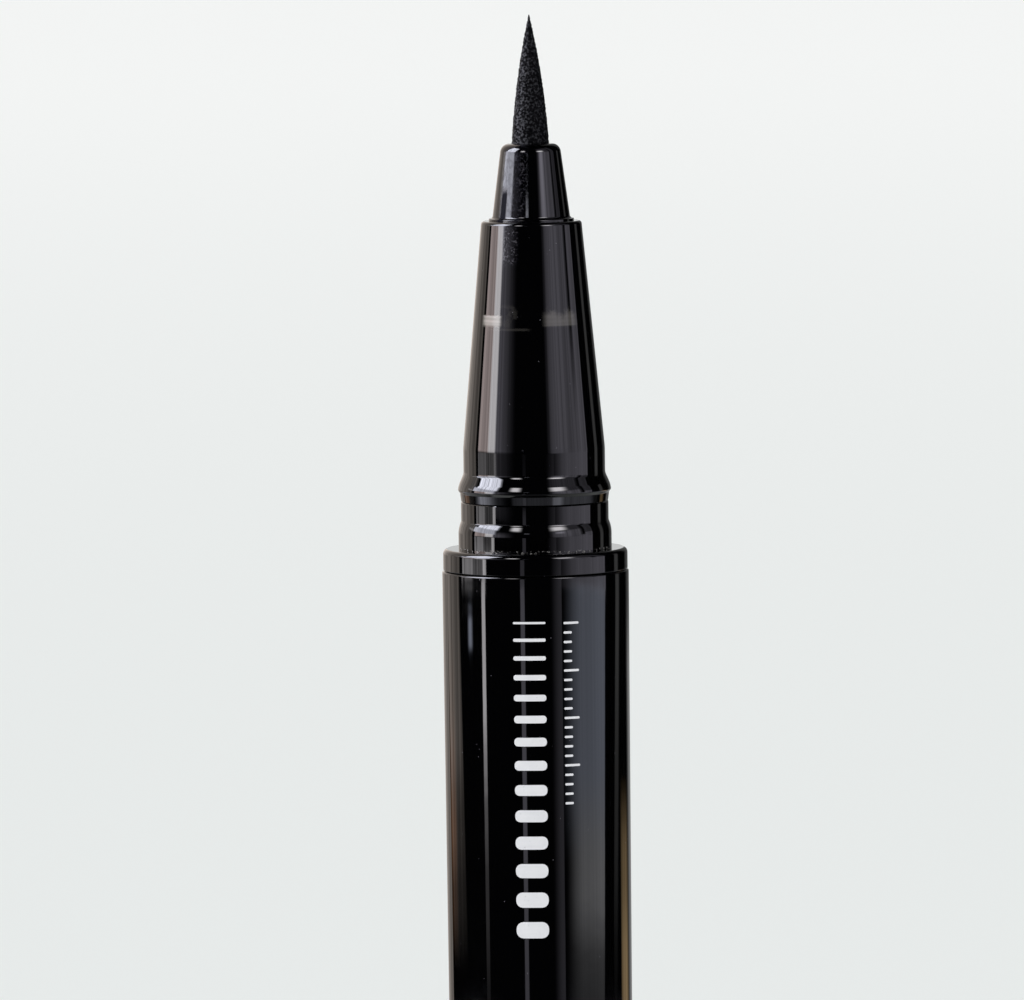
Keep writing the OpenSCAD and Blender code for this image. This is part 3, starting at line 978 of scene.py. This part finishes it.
ink = Finish("white_print")
pinholes = ink.fade(ink.noise(9, detail=4, roughness=0.7), 0.66, 0.72)
cloudy = ink.blend(ink.noise(1.5), THIN_WHITE, FULL_WHITE)
ink.set(Base_Color=ink.blend(pinholes, cloudy, PINHOLE), Roughness=0.42)
ink.bump((ink.noise(12), 0.0015))
wear(ink, marks)

# %% Make the waxy liner
WAX_DARK = (0.74, 0.74, 0.71)
WAX_LIGHT = (0.8, 0.8, 0.78)

wax = Finish("waxy_white_plastic")
wax.set(
    Base_Color=wax.blend(wax.noise(0.5), WAX_DARK, WAX_LIGHT),
    Roughness=wax.fade(wax.noise(2), 0.3, 0.7, 0.38, 0.5),
    Subsurface_Weight=0.15,
    Subsurface_Scale=0.0006,
)
wax.bump((wax.noise(5), 0.002))
wear(wax, liner)

# %% [markdown]
# ## Pieces inside the pen
#
# The pieces that are hidden in the pen keep their CAD meshes, and get finishes too, since
# the model may be cut open or shown without its barrel.

# %% Finish the fibre rod and the moulded inner pieces
DARK_FIBRE = (0.008, 0.008, 0.009)
PALE_FIBRE = (0.04, 0.04, 0.046)
SATIN_FINISHES = (
    # name, darker and lighter colour, roughness, node
    ("grey_sleeve_plastic", (0.32, 0.32, 0.33), (0.38, 0.38, 0.39), 0.5, "tip_sleeve"),
    ("collector_plastic", (0.025, 0.025, 0.027), (0.036, 0.036, 0.038), 0.42, "ink_collector"),
    ("seal_ring_rubber", (0.016, 0.016, 0.016), (0.026, 0.026, 0.026), 0.7, "section_seal"),
)
TANK_DARK = (0.5, 0.52, 0.52)
TANK_LIGHT = (0.58, 0.6, 0.6)


def satin_plastic(name, darker, lighter, rough):
    """Plain moulded plastic with a fine spark-eroded grain."""
    finish = Finish(name)
    finish.set(
        Base_Color=finish.blend(finish.noise(0.8), darker, lighter),
        Roughness=finish.fade(finish.noise(9), 0.3, 0.7, rough - 0.06, rough + 0.06),
    )
    finish.bump((finish.noise(18), 0.003))
    return finish


rod = Finish("fibre_bundle")
strands = rod.noise(14, place=rod.stretched(1, 1, 0.05))
rod.set(Base_Color=rod.blend(strands, DARK_FIBRE, PALE_FIBRE), Roughness=0.85)
rod.bump((strands, 0.03))
wear(rod, nodes["feed_rod"])
for name, darker, lighter, rough, node in SATIN_FINISHES:
    wear(satin_plastic(name, darker, lighter, rough), nodes[node])
cloudy_plastic = satin_plastic("cloudy_tank_plastic", TANK_DARK, TANK_LIGHT, 0.35)
cloudy_plastic.set(Subsurface_Weight=0.2, Subsurface_Scale=0.0008)
wear(cloudy_plastic, nodes["tank_plug"], nodes["ink_tank"])

# %% Finish the steel ball
STEEL_DARK = (0.54, 0.54, 0.55)
STEEL_LIGHT = (0.64, 0.64, 0.65)

steel = Finish("ball_steel")
steel.set(
    Base_Color=steel.blend(steel.noise(1.5), STEEL_DARK, STEEL_LIGHT),
    Roughness=steel.fade(steel.noise(6), 0.3, 0.7, 0.1, 0.22),
    Metallic=1.0,
)
steel.bump((steel.noise(8), 0.001))
wear(steel, nodes["stirring_ball"])

# %% [markdown]
# ## The studio
#
# A black mirror needs a designed room. The floor is plain and pale, and the sky lights
# everything softly. Round the pen stands a dark tent with glowing cards in it. Only
# mirrored rays can see the tent and the cards, so they shape the gloss and nothing else.
# In a mirror the floor is dark too, apart from three zones: it is bright below the window
# at the left, and dimmer below the wide card at the right and behind the pen.

# %% Lay the floor
FLOOR_R = 20
CIRCLE_SIDES = 96
PAPER_NEAR = (0.838, 0.87, 0.862)
PAPER_FAR = (0.975, 0.99, 0.982)
NEAR, FAR = 200, 4300
SHADE = 0.88
LIT_ZONES = (
    # left and right side, soft degrees, how much of the shade is taken off
    (-104, -62, 5, 0.88),
    (34, 140, 14, 0.5),
    (-150, -112, 6, 0.4),
)


def disc(name, radius, level):
    """A flat round sheet, in metres."""
    bpy.ops.object.select_all(action="DESELECT")
    bpy.ops.mesh.primitive_circle_add(
        vertices=CIRCLE_SIDES, radius=radius, fill_type="NGON", location=(0, 0, level)
    )
    piece = bpy.context.object
    piece.name = name
    return piece


floor = disc("floor", FLOOR_R, 0)
paper = Finish("floor_paper")
x, y, _ = paper.axes()
away = paper.math("ADD", paper.times(x, x), paper.times(y, y))
away = paper.math("POWER", away, 0.5)
sheet = paper.blend(paper.fade(away, NEAR, FAR), PAPER_NEAR, PAPER_FAR)
bearing = bearing_of(paper)
shade = SHADE
for left, right, soft, share in LIT_ZONES:
    shade = paper.add_share(zone(paper, bearing, left, right, soft), -share, shade)
mirrored = paper.add("LightPath").outputs["Is Glossy Ray"]
paper.set(
    Base_Color=paper.blend(paper.times(mirrored, shade), sheet, (0.0, 0.0, 0.0)),
    Roughness=0.9,
    Specular_IOR_Level=0.1,
)
wear(paper, floor)

# %% A curved card that stands round the pen
CARD_STEP = 2


def only_mirrored(piece):
    """Only mirrored rays meet this piece."""
    for kind in ("camera", "diffuse", "transmission", "volume_scatter", "shadow"):
        setattr(piece, f"visible_{kind}", False)


def curved_card(name, left, right, radius, foot, top):
    """Part of an upright tube between two bearings, spun from one line. Sizes in mm."""
    angle = math.radians(left)
    card = single_vertex(name, radius * math.sin(angle), -radius * math.cos(angle), foot)
    upright = (0, 0, (top - foot) * MM)
    bpy.ops.mesh.extrude_vertices_move(TRANSFORM_OT_translate={"value": upright})
    bpy.ops.mesh.select_all(action="SELECT")
    bpy.ops.mesh.spin(
        steps=max(2, round((right - left) / CARD_STEP)),
        angle=-math.radians(right - left),
        center=(0, 0, 0),
        axis=(0, 0, 1),
        use_auto_merge=False,
    )
    bpy.ops.object.mode_set(mode="OBJECT")
    only_mirrored(card)
    return card


print("cards are upright sheets, curved round the pen")

# %% Set up the dark tent
TENT_R = 308
TENT_TOP = 620
TENT_FOOT = 1
CEILING_R = TENT_R * 1.6
CLOTH_DARK = (0.001, 0.001, 0.001)
CLOTH_LIGHT = (0.002, 0.002, 0.002)

cloth = Finish("tent_cloth")
cloth.set(
    Base_Color=cloth.blend(cloth.noise(0.05, detail=2), CLOTH_DARK, CLOTH_LIGHT),
    Roughness=1.0,
    Specular_IOR_Level=0.0,
)
wear(cloth, curved_card("tent_wall", -176, 176, TENT_R, TENT_FOOT, TENT_TOP))
ceiling = disc("tent_ceiling", CEILING_R * MM, TENT_TOP * MM)
only_mirrored(ceiling)
wear(cloth, ceiling)

# %% [markdown]
# A card's light fades softly at its sides and changes with its height. Each card lets
# through what is behind it and only adds its own light, so cards may overlap: a window is
# a broad card with brighter, narrower ones for its frame. A little upright noise keeps a
# broad card from looking like flat paper.

# %% Make the cards glow
LEAN_FROM = 104
LEAN_REACH = 24


def glow(card, left, right, soft, streaks, colour, levels, lean):
    """Adds light between two bearings. levels are (height in mm, strength) stops.
    A leaning card drifts by this many degrees a mm below a height."""
    finish = Finish(f"{card.name}_glow")
    finish.tree.nodes.remove(finish.shader)
    height = finish.axes()["Z"]
    strength = levels[0][1]
    for (low, weak), (high, strong) in zip(levels, levels[1:]):
        rise = finish.fade(height, low, high, 0.0, strong - weak)
        strength = finish.math("ADD", strength, rise)
    bearing = bearing_of(finish)
    if lean:
        below = finish.larger(finish.math("SUBTRACT", LEAN_FROM, height), 0)
        bearing = finish.add_share(below, lean, bearing)
    if soft[0]:
        strength = finish.times(strength, finish.fade(bearing, left, left + soft[0]))
    if soft[1]:
        strength = finish.times(strength, finish.fade(bearing, right, right - soft[1]))
    if streaks:
        upright = finish.noise(0.07, place=finish.stretched(1, 1, 0.03))
        streaky = finish.fade(upright, 0.3, 0.7, 1 - streaks, 1 + streaks)
        strength = finish.times(strength, streaky)
    emission = finish.add("Emission", Color=(*colour, 1.0), Strength=strength)
    both = finish.add("AddShader")
    finish.join(both.inputs[0], finish.add("BsdfTransparent").outputs[0])
    finish.join(both.inputs[1], emission.outputs[0])
    end = finish.tree.nodes["Material Output"]
    finish.join(end.inputs["Surface"], both.outputs[0])
    card.data.materials.append(finish.material)


print(f"a card may lean, from {LEAN_FROM} mm down")

# %% [markdown]
# A card is one row of a table: name, left and right bearing, soft degrees at each side, how
# streaky it is, colour, and its light at some heights. The barrel mirrors heights up to
# about 104 mm, the ring, neck and groove up to 120 mm, the cone up to 190 mm and the nose
# up to 230 mm. Above that only rounded edges catch a card.
#
# The window at the left gives the cone its pale streak, and its frame draws the hard bright
# line down the barrel.

# %% List the cards of the window
WHITE = (1.0, 0.97, 1.0)
COOL = (0.96, 0.98, 1.12)
LILAC = (1.0, 0.965, 1.13)
PINK = (1.0, 0.83, 0.81)
ICE = (0.82, 0.88, 1.1)
WINDOW = (
    ("window_low", -104, -66, (1, 0), 0.5, WHITE,
     ((103.4, 0), (104.2, 1.2), (106, 1.2), (108.5, 0.5), (111, 0.5), (113, 0.7), (120, 0.65),
      (135, 0))),
    ("window_pink", -104.5, -80, (2, 1), 0.2, PINK, ((122, 0), (140, 3.9), (176, 3.9), (184, 0))),
    ("window_bright", -82.5, -65, (3, 4), 0.1, WHITE, ((122, 0), (140, 7.6), (176, 8.8), (186, 0))),
    ("window_high", -110, -61, (4, 7), 0.2, COOL, ((174, 0), (186, 6.5), (222, 6.5), (240, 0))),
    ("window_top", -103, -57, (3, 8), 0.4, COOL, ((220, 0), (245, 14), (560, 14))),
    ("window_tail", -68, -30, (1, 37), 0.2, LILAC,
     ((110, 0.3), (126, 0.5), (146, 1.3), (180, 1.1), (190, 0.7), (230, 0))),
    ("frame_right", -71, -65.2, (0.7, 0.7), 0, WHITE,
     ((66, 0.1), (78, 0.5), (84, 1.3), (88, 3.4), (93, 6.6), (103, 6.6), (103.8, 0))),
    ("frame_joint", -69.6, -63.8, (1, 0.7), 0, WHITE,
     ((103.2, 0), (104, 5.6), (111, 5.2), (112.8, 1.0), (120, 0.9), (130, 0))),
    ("frame_left", -104.5, -100, (0.7, 2), 0, WHITE,
     ((103.4, 0), (104.2, 1.4), (111, 1.4), (113, 0.5), (125, 0))),
    ("frame_middle", -99, -82, (2, 5), 0, WHITE,
     ((103.4, 0), (104.2, 1.6), (111, 1.8), (113, 0.6), (121, 0.5), (127, 0))),
    ("small_glint", -95, -84, (5, 5), 0, ICE, ((97.8, 0), (99, 3.2), (100.3, 3.2), (102.0, 0))),
    ("nose_rim", -124, -105, (6, 3), 0, WHITE,
     ((172, 0), (181, 1.7), (188, 1.3), (194, 0.3), (560, 0.3))),
)
print(f"{len(WINDOW)} cards make the window")

# %% [markdown]
# Two lamps hang high in front, for the rounded edges. Narrow strips draw the thin lines in
# the middle of the barrel and the small lights on the nose.

# %% List the lamps and strips in front
FRONT = (
    ("left_lamp", -43, -19, (10, 10), 0, WHITE, ((226, 0), (250, 12), (315, 12), (340, 0))),
    ("right_lamp", 20, 56, (14, 16), 0, WHITE, ((228, 0), (250, 12), (315, 12), (340, 0))),
    ("right_strip", 29, 50, (6, 10), 0.2, LILAC, ((190, 0), (200, 1.2), (218, 2.4), (230, 0))),
    ("front_low", -19.5, -13.5, (1, 1), 0, LILAC,
     ((30, 0), (60, 0.75), (90, 1.15), (103.4, 1.15), (104.4, 0.45), (110.6, 0.45), (112, 0.1),
      (120, 0))),
    ("front_high", -18, -7, (3, 4), 0, COOL, ((205, 0), (206.5, 3.8), (210, 3.8), (211.3, 0))),
)
print(f"{len(FRONT)} lamps and strips in front")

# %% [markdown]
# The wide card at the right fades towards the front and leaves the middle of the pen dark.
# It is bluish near the top of the barrel, and golden low down on its far side.

# %% List the parts of the wide card
BLUE = (0.83, 0.9, 1.1)
PALE_BLUE = (1.0, 1.0, 1.04)
PLAIN = (1.0, 1.0, 1.0)
GOLD = (1.0, 0.7, 0.37)
WIDE = (
    ("right_blue", 32, 95.3, (28, 1.5), 0.08, BLUE,
     ((80, 0), (90, 1.55), (103.4, 1.6), (104.4, 0))),
    ("right_grey", 38.5, 95.3, (26, 1.5), 0.08, PALE_BLUE,
     ((60, 0), (66, 0.17), (72, 0.48), (79, 1.55), (80, 1.55), (90, 0))),
    ("right_middle", 25, 97, (34, 2), 0.12, LILAC,
     ((103.4, 0), (104.4, 1.1), (118, 1.07), (134, 0))),
    ("right_low", 20, 97, (17, 2), 0.25, LILAC, ((118, 0), (134, 1.02), (158, 1.02), (168, 0))),
    ("right_high", 20, 79, (17, 9), 0.3, LILAC,
     ((158, 0), (168, 1.1), (188, 1.15), (216, 1.15), (240, 0.4), (560, 0.4))),
    ("right_edge", 80, 97.5, (3, 2), 0.2, LILAC,
     ((158, 0), (168, 0.95), (177, 0.9), (184, 0.33), (560, 0.33))),
    ("right_line", 17, 32, (13, 1), 0, LILAC,
     ((30, 0), (60, 0.4), (104, 0.4), (112, 0.2), (125, 0))),
    ("far_right", 115, 127, (2, 5), 0, PLAIN,
     ((68, 0), (72, 0.03), (86, 0.17), (102, 0.31), (210, 0.25))),
    ("right_gold", 122, 150, (6, 12), 0.2, GOLD,
     ((30, 0), (60, 1.0), (74, 1.0), (82, 0.6), (90, 0))),
)
print(f"{len(WIDE)} parts of the wide card")

# %% [markdown]
# The cards behind the pen are seen at a grazing angle, so each is a thin line along the
# outline: grey at the right, warm at the left.

# %% List the cards behind the pen
WARM = (1.0, 0.89, 0.81)
BROWN = (1.0, 0.45, 0.2)
REAR = (
    ("rear_right", 144, 176, (14, 0), 0, PLAIN,
     ((2, 0.2), (60, 0.4), (98, 0.4), (105, 0.14), (560, 0.14))),
    ("rear_left", -176, -140, (0, 3), 0.3, WARM,
     ((2, 0.2), (60, 0.5), (110, 0.6), (130, 0.95), (180, 0.95), (560, 1.1))),
    ("side_brown", -142, -121, (3, 6), 0, BROWN,
     ((74, 0), (80, 0.15), (85.5, 0.42), (90, 0.3), (97, 0.08), (103, 0))),
    ("side_left", -143, -108.5, (3, 3), 0.4, WARM,
     ((73, 0), (80, 0.12), (86, 0.25), (94, 0.66), (560, 0.66))),
)
print(f"{len(REAR)} cards behind the pen")

# %% [markdown]
# The low cards stand in for the light of the floor. Faces that lean outwards mirror them,
# such as the band under the bead.

# %% List the low cards
LOW = (
    ("low_left", -150, -40, (6, 60), 0.2, COOL, ((2, 0.4), (22, 0.95), (62, 0.95), (68, 0))),
    ("low_window", -101, -62, (7, 26), 0.2, COOL, ((2, 0.5), (24, 1.9), (62, 1.9), (68, 0))),
    ("low_front", -40, 35, (10, 10), 0.2, COOL, ((2, 0.1), (20, 0.36), (34, 0.36), (60, 0))),
    ("low_lamp", 26, 50, (6, 12), 0, COOL, ((18, 0), (28, 1.6), (38, 1.6), (50, 0))),
    ("low_right", 28, 156, (14, 20), 0.2, COOL, ((2, 0.5), (30, 0.6), (58, 0.6), (68, 0))),
)
print(f"{len(LOW)} low cards")

# %% [markdown]
# Sheets in the same place would hide each other, so each card of the first four tables
# hangs 1 mm further in than the one before it, and each low card 1 mm further out. Four
# cards lean, because their streaks drift sideways down the barrel.

# %% Hang the cards
CARD_R = 300
LEANS = {"right_blue": 0.2, "right_grey": 0.2, "far_right": 0.35, "side_left": -0.25}


def hang(name, left, right, soft, streaks, colour, levels, radius):
    """Makes one card at a radius and lights it."""
    lean = LEANS.get(name, 0)
    reach = abs(lean) * LEAN_REACH
    card = curved_card(name, left - reach, right + reach, radius, levels[0][0], levels[-1][0])
    glow(card, left, right, soft, streaks, colour, levels, lean)


INWARDS = WINDOW + FRONT + WIDE + REAR
for i, card in enumerate(INWARDS):
    hang(*card, radius=CARD_R - i)
for i, card in enumerate(LOW, start=1):
    hang(*card, radius=CARD_R + i)
print(f"from {CARD_R} mm, {len(INWARDS)} cards hang inwards and {len(LOW)} outwards")

# %% [markdown]
# The sky gives most of the light, evenly. One large soft lamp at the upper left adds
# direction, so that the pen keeps a soft shadow on the floor.

# %% Light the sky and hang one soft lamp
SKY_SEEN = (0.87, 0.885, 0.88)
SKY_LIGHT = 0.92
LAMP_SIZE = 0.5
LAMP_POWER = 1.6
LAMP_PLACE = Vector((-0.6, -0.45, 0.65))
LAMP_AIM = Vector((0, 0, 0.08))

world = bpy.data.worlds.new("pale_sky")
bpy.context.scene.world = world
world.use_nodes = True
sky = world.node_tree
sky.nodes.clear()


def sky_colour(colour, strength):
    """An even sky."""
    node = sky.nodes.new("ShaderNodeBackground")
    node.inputs["Color"].default_value = (*colour, 1)
    node.inputs["Strength"].default_value = strength
    return node.outputs[0]


rays = sky.nodes.new("ShaderNodeLightPath").outputs
seen = rays["Is Camera Ray"]
for ray in ("Is Glossy Ray", "Is Transmission Ray"):
    either = sky.nodes.new("ShaderNodeMath")
    either.operation = "MAXIMUM"
    sky.links.new(seen, either.inputs[0])
    sky.links.new(rays[ray], either.inputs[1])
    seen = either.outputs[0]
pick = sky.nodes.new("ShaderNodeMixShader")
sky.links.new(seen, pick.inputs[0])
sky.links.new(sky_colour((1, 1, 1), SKY_LIGHT), pick.inputs[1])
sky.links.new(sky_colour(SKY_SEEN, 1.0), pick.inputs[2])
end = sky.nodes.new("ShaderNodeOutputWorld")
sky.links.new(pick.outputs[0], end.inputs["Surface"])

lamp = bpy.data.lights.new("soft_lamp", "AREA")
lamp.shape = "DISK"
lamp.size = LAMP_SIZE
lamp.energy = LAMP_POWER
lamp_object = bpy.data.objects.new("soft_lamp", lamp)
bpy.context.collection.objects.link(lamp_object)
lamp_object.location = LAMP_PLACE
lamp_object.rotation_euler = (LAMP_AIM - LAMP_PLACE).to_track_quat("-Z", "Y").to_euler()
lamp_object.visible_glossy = False
print(f"sky {SKY_LIGHT}, lamp {lamp.energy:.1f} W")

# %% [markdown]
# ## The camera
#
# The picture is taken with a long lens from a little above, close to the tip, and the pen
# leans a hair to the left in it. The frame is 57.8 mm wide at the pen. The lens follows
# from that width and the distance.

# %% Set the camera
DISTANCE = 0.6
FRAME_WIDTH = 0.05784
SENSOR = 36
ELEVATION = math.radians(4.5)
ROLL = math.radians(0.7)
AIM = Vector((-1.28 * MM, 0, (MOUTH + 3.96) * MM))

lens = bpy.data.cameras.new("photo_camera")
lens.sensor_width = SENSOR
lens.lens = SENSOR * DISTANCE / FRAME_WIDTH
lens.clip_start = 0.01
lens.clip_end = 60
camera = bpy.data.objects.new("photo_camera", lens)
bpy.context.collection.objects.link(camera)
camera.location = AIM + DISTANCE * Vector((0, -math.cos(ELEVATION), math.sin(ELEVATION)))
camera.rotation_euler = (math.pi / 2 - ELEVATION, 0, 0)
camera.rotation_euler.rotate_axis("Z", -ROLL)
bpy.context.scene.camera = camera
bpy.context.scene.view_settings.view_transform = "Standard"
print(f"lens {lens.lens:.0f} mm at {DISTANCE / MM:.0f} mm")
